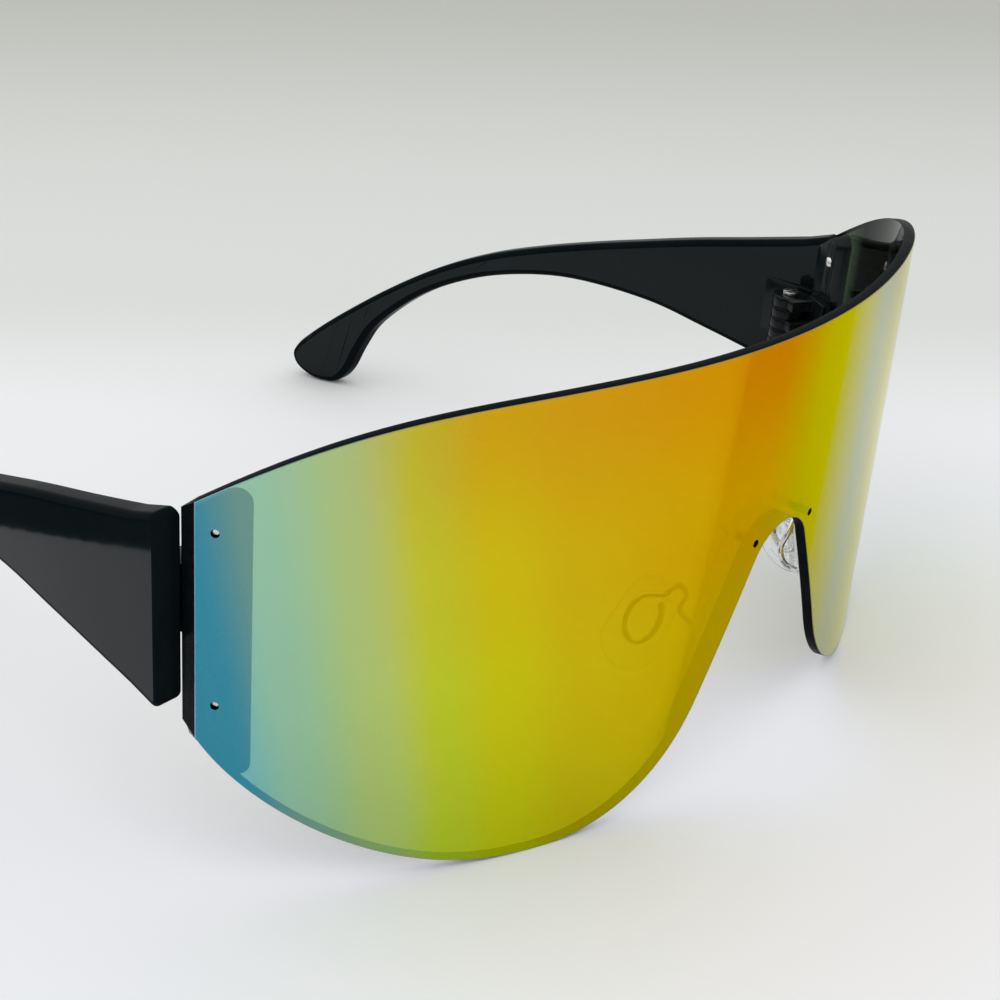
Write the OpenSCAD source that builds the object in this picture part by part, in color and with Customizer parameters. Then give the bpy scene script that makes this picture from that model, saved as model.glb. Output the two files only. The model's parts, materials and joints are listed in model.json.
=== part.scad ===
// Shield sunglasses: a one-piece wrap lens, two wide folding temples, and a wire nosepiece with two clear pads.
// Lens frame: the middle of the lens's top front edge is the zero point, the lens faces -Y,
// the temples run to +Y, and +X is the wearer's left. Only the +X side is drawn: the other is its mirror image.
// stand() then leans that frame so that the lobes and the temple tips touch the table at Z = 0.

/* [Lens] */
// Width of the lens, from cut end to cut end
lens_w = 141.6; // [136:0.2:146]
// Thickness of the lens sheet
lens_t = 1.6; // [1.2:0.1:2.2]
// Radius of the front surface at the middle, seen from above
lens_middle_r = 100; // [90:1:110]
// Half the angle that the middle radius covers
lens_middle_angle = 22; // [18:0.5:26]
// Angle that the front surface has turned through at the cut ends, seen from above
lens_wrap = 59.87; // [57:0.01:63]
// Height of the lens, from its top edge to the lowest point of a lobe
lens_h = 64.6; // [61:0.2:68]
// How far the top edge has come down at the cut ends
lens_top_drop = 14; // [11:0.5:16]
// Radius of a lobe beside the nose
lobe_nose_r = 26; // [24:0.5:28]
// Length of the flat bottom between the two curves of a lobe
lobe_flat = 3.7; // [3:0.1:4.4]
// Angle on the ellipse at the outer side of a lobe where the lens is cut off
lobe_cut_angle = 16.3; // [13:0.1:20]
// Half height of the ellipse on the outer side of a lobe
lobe_outer_h = 25.6; // [24:0.2:28]
// Depth of the nose notch's top below the lens's top edge
notch_drop = 27.4; // [25:0.2:30]
// Radius of the nose notch's top
notch_r = 6.7; // [6:0.1:7.6]
// Lean of each side of the notch from upright
notch_angle = 25.3; // [22:0.1:28]

/* [Stance] */
// Forward lean of the lens when the glasses stand on a table
lean = 4; // [3.6:0.05:4.4]

/* [Temples] */
// Length of a temple, measured straight back
temple_l = 113.8; // [108:0.2:120]
// Thickness of a temple
temple_t = 3.9; // [3.4:0.1:4.4]
// Radius of a temple's inward bow, seen from above
temple_bow_r = 1350; // [1200:10:1600]
// Inward slope of a temple at its front end
temple_slope = 3.7; // [3:0.1:4.2]
// Depth of a temple's front top corner below the lens's top edge
temple_top = 15.3; // [14:0.1:16.6]
// Gap between the lens's cut end and a temple's inner face
temple_gap = 0.2; // [0.15:0.05:0.3]
// Radius of the corners of a temple's front end
temple_corner_r = 1.2; // [0.8:0.1:1.8]

/* [End plates] */
// Thickness of the plate behind each end of the lens
plate_t = 1.5; // [1.2:0.1:1.8]
// Width of the plate along the lens
plate_w = 8.2; // [7.6:0.1:9]
// How far the plate's outer end stays inside the lens's cut end
plate_inset = 0.5; // [0.4:0.1:0.8]
// Inset of the plate's top from the lens's top edge
plate_top_inset = 2.6; // [2.2:0.1:3]
// Inset of the plate's bottom from the lens's bottom edge
plate_bottom_inset = 2.6; // [2:0.1:3.4]
// Radius of the pins that hold lens and plate together
pin_r = 0.5; // [0.4:0.05:0.6]
// Radius of the pin's domed head behind the plate
pin_head_r = 0.9; // [0.8:0.05:1.1]
// Height of the pin's domed head
pin_head_h = 0.5; // [0.3:0.05:0.7]
// How far the pin ends below the lens's front surface
pin_recess = 0.45; // [0.3:0.05:0.6]
// Clearance round every pin, rivet and screw in its hole
pin_gap = 0.05; // [0.03:0.01:0.08]
// Distance of the pins from the lens's cut end
pin_from_end = 1.25; // [1.1:0.05:1.5]
// Distance of the upper pin below the lens's edge, straight above it
pin_below_top = 5.2; // [4.6:0.1:6]
// Distance of the lower pin above the lens's edge, straight below it
pin_above_bottom = 8; // [7:0.1:9]

/* [Hinges] */
// Distance of the hinge axis behind the end plate's inner face
hinge_standoff = 3.7; // [3.4:0.05:4]
// Distance of the hinge axis from the end plate's rear end, along the lens
hinge_behind_plate = 0.6; // [0.3:0.1:1]
// Depth of the hinge's middle below the lens's top edge
hinge_z = 29.5; // [28:0.1:31]
// Radius of the hinge knuckles
knuckle_r = 2.8; // [2.5:0.05:3]
// Height of one knuckle
knuckle_h = 1.8; // [1.5:0.05:2]
// Gap between neighbouring knuckles
knuckle_gap = 0.1; // [0.06:0.02:0.16]
// Width of the web that carries a knuckle
web_w = 3.2; // [2.8:0.1:3.6]
// Thickness of the front leaf's flange
flange_t = 1.4; // [1.1:0.1:1.6]
// How far the flange reaches past the knuckles, above and below
flange_rim = 0.5; // [0.3:0.1:0.8]
// Radius of the hinge screw
hinge_screw_r = 0.7; // [0.6:0.05:0.8]
// Radius of the hinge screw's head
hinge_screw_head_r = 1.3; // [1.1:0.05:1.5]
// Height of the hinge screw's head
hinge_screw_head_h = 0.6; // [0.5:0.05:0.8]
// Width of the slots in the screw heads
slot_w = 0.3; // [0.25:0.05:0.4]
// Length of the front leaf's flange along the end plate
flange_l = 5.3; // [4.8:0.1:6.2]
// Depth of the rear leaf's tab inside the temple
tab_depth = 1.8; // [1.4:0.1:2.2]
// Length of the rear leaf's tab along the temple
tab_l = 9; // [8:0.2:11]
// Clearance round the tab in the temple's pocket
tab_gap = 0.05; // [0.03:0.01:0.1]

/* [Nosepiece] */
// Width of the arched band over the notch
band_w = 2.2; // [1.8:0.1:2.6]
// Thickness of the arched band
band_t = 1; // [0.8:0.05:1.2]
// Gap between the notch's edge and the band, seen from the front
band_from_notch = 0.8; // [0.6:0.1:1.2]
// Half the angle that the band covers
band_angle = 58; // [54:0.5:60]
// Half the angle between the two band pins
band_pin_angle = 50; // [46:0.5:52]
// Radius of an arm's wire
wire_r = 0.42; // [0.34:0.02:0.46]
// Height of an arm, from the end of the band to its lowest bend
arm_h = 11.7; // [11.2:0.1:12]
// Length of the wire loop inside a pad
loop_l = 6.8; // [6.4:0.1:7.2]
// Width of the wire loop inside a pad
loop_w = 4.4; // [4:0.1:4.8]
// Length of a pad, from top to bottom
pad_l = 13.6; // [13:0.1:14.4]
// Width of a pad at its lower end
pad_w = 8.4; // [8:0.1:8.8]
// Width of a pad at its upper end
pad_top_w = 7; // [6.6:0.1:7.6]
// Thickness of a pad
pad_t = 2; // [1.8:0.1:2.4]
// How far the loop's middle lies above the pad's middle
loop_rise = 0.7; // [0.5:0.05:0.9]
// Half the distance between the two loops' middles
pad_x = 17.1; // [16.8:0.1:17.5]
// Distance of the loops' middles behind the lens's front
pad_y = 9.3; // [9.1:0.1:9.8]
// Depth of the loops' middles below the lens's top edge
pad_z = 39.5; // [39:0.1:40]
// Outward lean of a pad's lower end
pad_flare = 23; // [20:0.5:26]
// Outward turn of a pad's rear edge
pad_splay = 12.5; // [10:0.5:16]
// Backward lean of a pad's lower end
pad_tilt = 15; // [12:0.5:18]
// Clearance round the wire inside a pad
pad_gap = 0.03; // [0.02:0.01:0.06]

/* [Hidden] */
$fn = 48;
black = [0.03, 0.035, 0.04];
silver = [0.75, 0.76, 0.78];
lens_colour = [0.72, 0.66, 0.1];
clear = [0.86, 0.88, 0.88];
// One overrun serves every cut
over = 1;
big_fn = 360;
bow_fn = 4 * big_fn;
half_w = lens_w / 2;
// The side radius brings the front surface to its wrap angle just at the cut end
lens_side_r = (half_w - lens_middle_r * sin(lens_middle_angle)) / (sin(lens_wrap) - sin(lens_middle_angle));
// The side arcs share a tangent with the middle arc at lens_middle_angle
side_c = [(lens_middle_r - lens_side_r) * sin(lens_middle_angle),
          lens_middle_r - (lens_middle_r - lens_side_r) * cos(lens_middle_angle)];
// Angle on a side arc of a given distance from the middle, on a surface set back by a depth
function side_angle(x, depth) = asin((x - side_c[0]) / (lens_side_r - depth));
// Front surface behind a point of the outline
function front_y(x) = x < lens_middle_r * sin(lens_middle_angle)
    ? lens_middle_r - sqrt(pow(lens_middle_r, 2) - pow(x, 2))
    : side_c[1] - lens_side_r * cos(side_angle(x, 0));
end_y = front_y(half_w);
view_depth = end_y + lens_side_r / 4;
// The sheet is drawn past the cut ends
sheet_end_angle = side_angle(half_w + over, lens_t);
sheet_lap_angle = 3;

// Lens outline, seen from the front
top_power = 6.4;
arc_steps = 8;
top_steps = 16;
function top_z(x) = -lens_top_drop * pow(x / half_w, top_power);
notch_c_z = -notch_drop - notch_r;
lobe_c_z = lobe_nose_r - lens_h;
// The lobe's circle and the notch's circle share a tangent: the wall of the notch
lobe_c_x = (notch_r + lobe_nose_r + (notch_c_z - lobe_c_z) * sin(notch_angle)) / cos(notch_angle);
lobe_x = lobe_c_x + lobe_flat;
lobe_outer_w = (half_w - lobe_x) / cos(lobe_cut_angle);
function lobe_z(x) = -lens_h + lobe_outer_h * (1 - sqrt(1 - pow((x - lobe_x) / lobe_outer_w, 2)));
function half_outline() = concat(
    [for (i = [1:arc_steps]) let (a = 90 - (90 - notch_angle) * i / arc_steps)
        [notch_r * cos(a), notch_c_z + notch_r * sin(a)]],
    [for (i = [0:arc_steps]) let (a = 180 + notch_angle + (90 - notch_angle) * i / arc_steps)
        [lobe_c_x + lobe_nose_r * cos(a), lobe_c_z + lobe_nose_r * sin(a)]],
    [for (i = [0:2 * arc_steps]) let (a = -90 + (90 - lobe_cut_angle) * i / (2 * arc_steps))
        [lobe_x + lobe_outer_w * cos(a), lobe_outer_h - lens_h + lobe_outer_h * sin(a)]],
    [for (i = [0:top_steps - 1]) let (x = half_w * (1 - i / top_steps)) [x, top_z(x)]]);
function mirrored(points) = [for (i = [len(points) - 1:-1:0]) [-points[i][0], points[i][1]]];
lens_outline = concat([[0, -notch_drop]], half_outline(), [[0, 0]], mirrored(half_outline()));

// The tips reach the table when the lens stands on its lobes
lens_low = min([for (p = lens_outline) p[1] * cos(lean) + front_y(abs(p[0])) * sin(lean)]);
// The front end of a temple lies beside the lens's cut end
temple_beside_share = 0.68;
temple_front = end_y + temple_beside_share * lens_t / cos(side_angle(half_w, 0));
temple_x = half_w + temple_gap + temple_t;
tip_low_share = 0.936;
temple_drop = ((temple_front + tip_low_share * temple_l) * sin(lean) - lens_low) / cos(lean) - temple_top;

// Temple outline, seen from the side: each point is [share of temple_l, share of temple_drop],
// and a smooth curve runs through them
top_shares = [[0.046, 0.027], [0.141, 0.078], [0.233, 0.126], [0.325, 0.179], [0.413, 0.231], [0.506, 0.291],
              [0.601, 0.362], [0.699, 0.458], [0.8, 0.585], [0.903, 0.736], [0.967, 0.842], [0.993, 0.897],
              [1, 0.934], [0.989, 0.972], [0.962, 0.996], [0.936, 1]];
bottom_shares = [[0.936, 1], [0.905, 0.985], [0.88, 0.933], [0.855, 0.832], [0.82, 0.725], [0.739, 0.583],
                 [0.65, 0.48], [0.553, 0.407], [0.438, 0.36], [0.299, 0.355], [0.193, 0.383], [0.098, 0.413],
                 [0.046, 0.43]];
temple_front_shares = [[0, 0.446], [0, 0.002]];
curve_steps = 3;
function spline(a, b, c, d, t) = 0.5 * (2 * b + (c - a) * t + (2 * a - 5 * b + 4 * c - d) * t * t
    + (3 * b - a - 3 * c + d) * t * t * t);
function smooth(p) = [for (i = [0:len(p) - 2], j = [0:curve_steps - 1])
    spline(p[max(i - 1, 0)], p[i], p[i + 1], p[min(i + 2, len(p) - 1)], j / curve_steps)];
function temple_place(share) = [temple_front + share[0] * temple_l, -temple_top - share[1] * temple_drop];
function corner_arc(c, a) = [for (i = [0:arc_steps / 2])
    c + temple_corner_r * [cos(a + 90 * i / (arc_steps / 2)), sin(a + 90 * i / (arc_steps / 2))]];
front_low = temple_place(temple_front_shares[0]);
front_high = temple_place(temple_front_shares[1]);
function reversed(points) = [for (i = [len(points) - 1:-1:0]) points[i]];
temple_outline = concat(
    [for (share = smooth(top_shares)) temple_place(share)],
    [for (share = smooth(bottom_shares)) temple_place(share)],
    [temple_place(bottom_shares[len(bottom_shares) - 1])],
    reversed(corner_arc(front_low + temple_corner_r * [1, 1], 180)),
    reversed(corner_arc(front_high + temple_corner_r * [1, -1], 90)));
// The bow's circle touches the outer face's front end
bow_c = [temple_x - temple_bow_r * cos(temple_slope), temple_front - temple_bow_r * sin(temple_slope)];

// Standing on the table: the lens frame leans by lean, its lowest points come to zero,
// and the object's box is centred over the zero point
temple_low = min([for (p = temple_outline) p[1] * cos(lean) + p[0] * sin(lean)]);
depth = max([for (p = temple_outline) p[0] * cos(lean) - p[1] * sin(lean)]);
lift = -min(lens_low, temple_low);

// End plate and hinge, in the polar frame of the side arc
plate_outer_r = lens_side_r - lens_t;
plate_inner_r = plate_outer_r - plate_t;
plate_end_angle = side_angle(half_w - plate_inset, lens_t);
function arc_degrees(length, r) = length / r * 180 / PI;
plate_start_angle = plate_end_angle - arc_degrees(plate_w, plate_outer_r);
plate_corner_r = 2;
plate_start_x = side_c[0] + plate_outer_r * sin(plate_start_angle);
plate_end_x = half_w - plate_inset;
// Inner corners of the plate, seen from the front, where the lens turns away and makes them narrower
plate_corner_w = plate_corner_r * cos(plate_start_angle);
plate_top = top_z(plate_start_x + plate_corner_w) - plate_top_inset;
plate_bottom = lobe_z(plate_start_x) + plate_bottom_inset;
plate_outline = concat(
    [[plate_end_x, lobe_z(plate_end_x) + plate_bottom_inset], [plate_end_x, top_z(plate_end_x) - plate_top_inset]],
    [for (i = [0:arc_steps]) let (a = 90 + 90 * i / arc_steps)
        [plate_start_x + plate_corner_w * (1 + cos(a)), plate_top + plate_corner_r * (sin(a) - 1)]],
    [for (i = [0:arc_steps]) let (a = 180 + 90 * i / arc_steps)
        [plate_start_x + plate_corner_w * (1 + cos(a)), plate_bottom + plate_corner_r * (1 + sin(a))]]);
pin_x = half_w - pin_from_end;
pin_angle = side_angle(pin_x, 0);
pin_top_z = pin_below_top - top_z(pin_x);
pin_bottom_z = -lobe_z(pin_x) - pin_above_bottom;
hinge_angle = plate_end_angle + arc_degrees(hinge_behind_plate, plate_inner_r);
hinge_r = plate_inner_r - hinge_standoff;
hinge_axis = side_c + hinge_r * [sin(hinge_angle), -cos(hinge_angle)];
knuckles = 5;
hinge_h = knuckles * knuckle_h + (knuckles - 1) * knuckle_gap;
hinge_top = hinge_h / 2 - hinge_z;
flange_r = plate_inner_r - flange_t;
// The front leaf's flange stays clear of the turning knuckles
leaf_clear = 0.4;
flange_front = sqrt(pow(knuckle_r + leaf_clear, 2) - pow(flange_r - hinge_r, 2));
web_back = (flange_front + flange_l) / 2;

// Nosepiece
band_c = [0, notch_c_z];
band_inner_r = notch_r + band_from_notch;
band_mid_r = band_inner_r + band_w / 2;
band_pin_place = band_c + band_mid_r * [sin(band_pin_angle), cos(band_pin_angle)];
band_back = lens_middle_r - lens_t - band_t;
// The pins' heads clear the slope of the band's back
band_pin_seat = 0.1;
band_end = band_c + (band_inner_r + band_w / 2) * [sin(band_angle), cos(band_angle)];
joint_gap = 0.02;
arm_sides = 10;
arm_steps = 3;
loop_steps = 16;
// The wire leaves the band's end face square, in the middle of the band's thickness
band_exit = [cos(band_angle), 0, -sin(band_angle)];
arm_start = [band_end[0], front_y(band_end[0]) + lens_t + band_t / 2, band_end[1]] + joint_gap * band_exit;
// Bends of the wire behind the lens, then back, up and outward to the pad: each is a share of arm_h,
// counted outward, backward and upward from the band's end
arm_shares = [[0.11, 0.025, -0.385], [0.248, 0.035, -0.692], [0.419, 0.043, -0.979], [0.385, 0.182, -0.983],
              [0.376, 0.285, -0.94], [0.419, 0.362, -0.863], [0.436, 0.379, -0.786], [0.427, 0.353, -0.692],
              [0.436, 0.319, -0.598], [0.496, 0.319, -0.496], [0.598, 0.344, -0.419], [0.675, 0.379, -0.453],
              [0.684, 0.438, -0.538]];
// The loop starts and ends short of its top, so that the wire's end stays clear of its tail
loop_start_angle = 18;
loop_end_angle = 332;
function turn_x(p, a) = [p[0], p[1] * cos(a) - p[2] * sin(a), p[1] * sin(a) + p[2] * cos(a)];
function turn_y(p, a) = [p[0] * cos(a) + p[2] * sin(a), p[1], p[2] * cos(a) - p[0] * sin(a)];
function turn_z(p, a) = [p[0] * cos(a) - p[1] * sin(a), p[0] * sin(a) + p[1] * cos(a), p[2]];
function pad_place(p) = [pad_x, pad_y, -pad_z]
    + turn_z(turn_y(turn_x(p, pad_tilt), -pad_flare), -pad_splay);
arm_points = concat(
    [arm_start, arm_start + wire_r * band_exit],
    [for (share = arm_shares) arm_start + arm_h * share],
    [for (i = [0:loop_steps]) let (a = loop_start_angle + (loop_end_angle - loop_start_angle) * i / loop_steps)
        pad_place([0, loop_w / 2 * sin(a), loop_l / 2 * cos(a)])]);

// Places its children, drawn in the lens frame, as the glasses stand on the table
module stand() {
    translate([0, -depth / 2, lift])
        rotate([lean, 0, 0])
            children();
}

module on_left() {
    stand() children();
}

module on_right() {
    stand() mirror([1, 0, 0]) children();
}

// A sector between two angles, measured from -Y towards +X, seen from above
module wedge(centre, from, to, reach) {
    translate(centre)
        polygon([[0, 0], reach * [sin(from), -cos(from)],
                 reach * [sin((from + to) / 2), -cos((from + to) / 2)],
                 reach * [sin(to), -cos(to)]]);
}

module ring(outer, inner, sides) {
    difference() {
        circle(outer, $fn = sides);
        circle(inner, $fn = sides);
    }
}

// Zero point in the middle of the side arc, with -Y towards the line where the middle arc begins
module side_frame() {
    translate([0, lens_middle_r, 0])
        rotate([0, 0, lens_middle_angle])
            translate([0, lens_side_r - lens_middle_r, 0])
                children();
}

// A curved wall of the side arc, between two depths behind the lens's front surface
module side_wall(front, back, from, to, low, high) {
    side_frame() raised(low, high) intersection() {
        ring(lens_side_r - front, lens_side_r - back, big_fn);
        wedge([0, 0], from - lens_middle_angle, to - lens_middle_angle, 2 * lens_side_r);
    }
}

// The sheet from a little beyond the middle to a little beyond the cut end
module half_sheet() {
    translate([0, lens_middle_r, 0]) rotate([0, 0, lens_middle_angle]) raised(-lens_h - over, over) intersection() {
        ring(lens_middle_r, lens_middle_r - lens_t, big_fn);
        wedge([0, 0], -lens_middle_angle - sheet_lap_angle, 0, 2 * lens_middle_r);
    }
    side_wall(0, lens_t, lens_middle_angle, sheet_end_angle, -lens_h - over, over);
}

// Raises a plan shape to fill the lens's height
module raised(low, high) {
    translate([0, 0, low]) linear_extrude(high - low) children();
}

// Turns a front view into a solid that runs through the lens along Y
module through_front(reach) {
    translate([0, reach, 0]) rotate([90, 0, 0]) linear_extrude(reach + over) children();
}

// Looks along the lens's surface at an angle of the side arc: X points out through the front, Y along the lens
module at_side(angle, radius, z) {
    side_frame() rotate([0, 0, angle - lens_middle_angle - 90]) translate([radius, 0, z]) children();
}

module pin_hole(angle, z, r) {
    at_side(angle, lens_side_r, z)
        rotate([0, 90, 0]) translate([0, 0, -lens_t - plate_t - over]) cylinder(lens_t + plate_t + 2 * over, r = r);
}

module band_hole(r) {
    translate([band_pin_place[0], 0, band_pin_place[1]])
        rotate([-90, 0, 0]) translate([0, 0, -over]) cylinder(lens_t + band_t + 3 * over, r = r);
}

module lens_shield() {
    color(lens_colour) stand() difference() {
        intersection() {
            union() {
                half_sheet();
                mirror([1, 0, 0]) half_sheet();
            }
            through_front(view_depth) polygon(lens_outline);
        }
        for (side = [0, 1]) mirror([side, 0, 0]) {
            pin_hole(pin_angle, -pin_top_z, pin_r + pin_gap);
            pin_hole(pin_angle, -pin_bottom_z, pin_r + pin_gap);
            band_hole(pin_r + pin_gap);
        }
    }
}

// The plate follows the lens's back surface, and its ends follow the lens's outline
module end_plate() {
    color(black) difference() {
        intersection() {
            side_wall(lens_t, lens_t + plate_t, plate_start_angle, plate_end_angle, -lens_h, 0);
            through_front(view_depth) polygon(plate_outline);
        }
        pin_hole(pin_angle, -pin_top_z, pin_r + pin_gap);
        pin_hole(pin_angle, -pin_bottom_z, pin_r + pin_gap);
    }
}

// A pin through lens and plate: a plain shank in front, a domed head behind
module lens_pin(z) {
    shank = lens_t + plate_t - pin_recess;
    color(silver) at_side(pin_angle, lens_side_r - pin_recess, z) rotate([0, -90, 0]) {
        cylinder(shank + pin_head_h / 2, r = pin_r);
        translate([0, 0, shank]) cylinder(pin_head_h, r1 = pin_head_r, r2 = pin_r);
    }
}

// Plan of one front knuckle: the round, and the web that runs along the end plate to the flange
module front_knuckle_plan() {
    circle(knuckle_r);
    translate([-web_w / 2, -web_back]) square([web_w / 2 + flange_r + flange_t / 2 - hinge_r, web_back]);
}

module hinge_front_leaf() {
    color(black) difference() {
        union() {
            side_wall(lens_side_r - plate_inner_r, lens_side_r - flange_r,
                      hinge_angle - arc_degrees(flange_front + flange_l, flange_r),
                      hinge_angle - arc_degrees(flange_front, flange_r),
                      hinge_top - hinge_h - flange_rim, hinge_top + flange_rim);
            for (i = [0:2:knuckles - 1])
                at_side(hinge_angle, hinge_r, hinge_top - knuckle_h - i * (knuckle_h + knuckle_gap))
                    linear_extrude(knuckle_h) intersection() {
                        front_knuckle_plan();
                        translate([-hinge_r, 0]) circle(plate_inner_r - flange_t / 2, $fn = big_fn);
                    }
        }
        at_side(hinge_angle, hinge_r, hinge_top - hinge_h - over)
            cylinder(hinge_h + 2 * over, r = hinge_screw_r + pin_gap);
    }
}

module hinge_screw() {
    color(silver) at_side(hinge_angle, hinge_r, hinge_top - hinge_h) difference() {
        union() {
            cylinder(hinge_h + hinge_screw_head_h / 2, r = hinge_screw_r);
            translate([0, 0, hinge_h]) cylinder(hinge_screw_head_h, r = hinge_screw_head_r);
        }
        translate([-hinge_screw_head_r - over, -slot_w / 2, hinge_h + hinge_screw_head_h / 2])
            cube([2 * hinge_screw_head_r + 2 * over, slot_w, hinge_screw_head_h]);
    }
}

// Distance from the hinge axis to the temple's inner face, level with the axis
function bow_x(y) = bow_c[0] + sqrt(pow(temple_bow_r, 2) - pow(y - bow_c[1], 2));
inner_x = bow_x(hinge_axis[1]) - temple_t;
tab_x = bow_x(hinge_axis[1] + tab_l) - temple_t;
tab_start = hinge_axis[1] - web_w / 2;

module hinge_rear_leaf() {
    color(black) difference() {
        union() {
            for (i = [1:2:knuckles - 1])
                translate([hinge_axis[0], hinge_axis[1], hinge_top - knuckle_h - i * (knuckle_h + knuckle_gap)])
                    linear_extrude(knuckle_h) {
                        circle(knuckle_r);
                        translate([0, -web_w / 2]) square([inner_x + tab_depth / 2 - hinge_axis[0], web_w]);
                    }
            translate([tab_x, tab_start, hinge_top - hinge_h])
                cube([inner_x + tab_depth - tab_x, tab_l, hinge_h]);
        }
        translate([hinge_axis[0], hinge_axis[1], hinge_top - hinge_h - over])
            cylinder(hinge_h + 2 * over, r = hinge_screw_r + pin_gap);
    }
}

module temple() {
    color(black) difference() {
        intersection() {
            raised(-temple_top - temple_drop - over, -temple_top + over) intersection() {
                translate(bow_c) ring(temple_bow_r, temple_bow_r - temple_t, bow_fn);
                translate([0, temple_front - over]) square([temple_x + over, temple_l + 2 * over]);
            }
            rotate([90, 0, 90]) linear_extrude(temple_x + over) polygon(temple_outline);
        }
        translate([tab_x - over - tab_gap, tab_start - tab_gap, hinge_top - hinge_h - tab_gap])
            cube([inner_x + tab_depth - tab_x + over + 2 * tab_gap, tab_l + 2 * tab_gap, hinge_h + 2 * tab_gap]);
    }
}

module nose_band() {
    reach = lens_middle_r / 2;
    color(silver) stand() difference() {
        intersection() {
            raised(-lens_h, 0) intersection() {
                translate([0, lens_middle_r]) ring(lens_middle_r - lens_t, band_back, big_fn);
                translate([-half_w, 0]) square([2 * half_w, reach]);
            }
            through_front(reach) intersection() {
                translate(band_c) ring(band_inner_r + band_w, band_inner_r, $fn);
                translate(band_c) rotate(180) wedge([0, 0], -band_angle, band_angle, 2 * (band_inner_r + band_w));
            }
        }
        for (side = [0, 1]) mirror([side, 0, 0]) band_hole(pin_r + pin_gap);
    }
}

module band_pin() {
    head = lens_t + band_t + band_pin_seat - pin_recess;
    color(silver) translate([band_pin_place[0], front_y(band_pin_place[0]) + pin_recess, band_pin_place[1]])
        rotate([-90, 0, 0]) {
            cylinder(head + pin_head_h / 2, r = pin_r);
            translate([0, 0, head]) cylinder(pin_head_h, r1 = pin_head_r, r2 = pin_r);
        }
}

// Wire of an arm: rings of arm_sides points, swept along a smooth line through arm_points
function arm_line() = concat(
    [for (i = [0:len(arm_points) - 2], j = [0:arm_steps - 1])
        spline(arm_points[max(i - 1, 0)], arm_points[i], arm_points[i + 1],
               arm_points[min(i + 2, len(arm_points) - 1)], j / arm_steps)],
    [arm_points[len(arm_points) - 1]]);
function unit(v) = v / norm(v);
function heading(p, i) = unit(p[min(i + 1, len(p) - 1)] - p[max(i - 1, 0)]);
function carried(v, h) = unit(v - (v * h) * h);
function sides_of(p, i, v) = let (s = carried(v, heading(p, i)))
    i == len(p) - 1 ? [s] : concat([s], sides_of(p, i + 1, s));

module wire(points, r) {
    s = sides_of(points, 0, [1, 0.2, 0]);
    n = len(points);
    rings = [for (i = [0:n - 1], k = [0:arm_sides - 1])
        let (h = heading(points, i), t = cross(h, s[i]), a = 360 * k / arm_sides)
            points[i] + r * (cos(a) * s[i] + sin(a) * t)];
    walls = [for (i = [0:n - 2], k = [0:arm_sides - 1], half = [0, 1])
        let (a = i * arm_sides + k, b = i * arm_sides + (k + 1) % arm_sides)
            half == 0 ? [a, a + arm_sides, b] : [b, a + arm_sides, b + arm_sides]];
    polyhedron(rings, concat(walls, [[for (k = [0:arm_sides - 1]) k],
                                     [for (k = [arm_sides - 1:-1:0]) (n - 1) * arm_sides + k]]));
}

module pad_arm() {
    color(silver) wire(arm_line(), wire_r);
}

// A pad: a soft cushion, wider at its lower end, moulded round the wire's loop.
// In its own frame X points outward from the nose, Y backward and Z up.
module nose_pad() {
    color(clear) difference() {
        translate([pad_x, pad_y, -pad_z]) rotate([0, 0, -pad_splay]) rotate([0, -pad_flare, 0])
            rotate([pad_tilt, 0, 0]) hull() {
                translate([0, 0, (pad_l - pad_top_w) / 2 - loop_rise]) cushion(pad_top_w / 2);
                translate([0, 0, -(pad_l - pad_w) / 2 - loop_rise]) cushion(pad_w / 2);
            }
        wire(arm_line(), wire_r + pad_gap);
    }
}

module cushion(r) {
    rotate([0, 90, 0]) rotate_extrude($fn = 32) translate([r - pad_t / 2, 0]) circle(pad_t / 2, $fn = 16);
}

lens_shield();
on_left() end_plate();  // end_plate_left
on_right() end_plate();  // end_plate_right
on_left() lens_pin(-pin_top_z);  // lens_pin_upper_left
on_left() lens_pin(-pin_bottom_z);  // lens_pin_lower_left
on_right() lens_pin(-pin_top_z);  // lens_pin_upper_right
on_right() lens_pin(-pin_bottom_z);  // lens_pin_lower_right
on_left() hinge_front_leaf();  // hinge_front_leaf_left
on_right() hinge_front_leaf();  // hinge_front_leaf_right
on_left() hinge_screw();  // hinge_screw_left
on_right() hinge_screw();  // hinge_screw_right
on_left() hinge_rear_leaf();  // hinge_rear_leaf_left
on_right() hinge_rear_leaf();  // hinge_rear_leaf_right
on_left() temple();  // temple_left
on_right() temple();  // temple_right
nose_band();
on_left() band_pin();  // band_pin_left
on_right() band_pin();  // band_pin_right
on_left() pad_arm();  // pad_arm_left
on_right() pad_arm();  // pad_arm_right
on_left() nose_pad();  // nose_pad_left
on_right() nose_pad();  // nose_pad_right
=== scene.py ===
# %% [markdown]
# # Shield sunglasses
# One large curved lens, two wide folding temples, and a wire nosepiece with two clear pads. The packed
# CAD model is the fixed frame. Blender adds what the eye sees: smooth curved surfaces, polished edges,
# rivets, the pads, and a finish for every piece. Everything stays where the frame says.

# %% Load the frame
import json
import math
import bpy
import bmesh
from mathutils import Matrix, Vector

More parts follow.
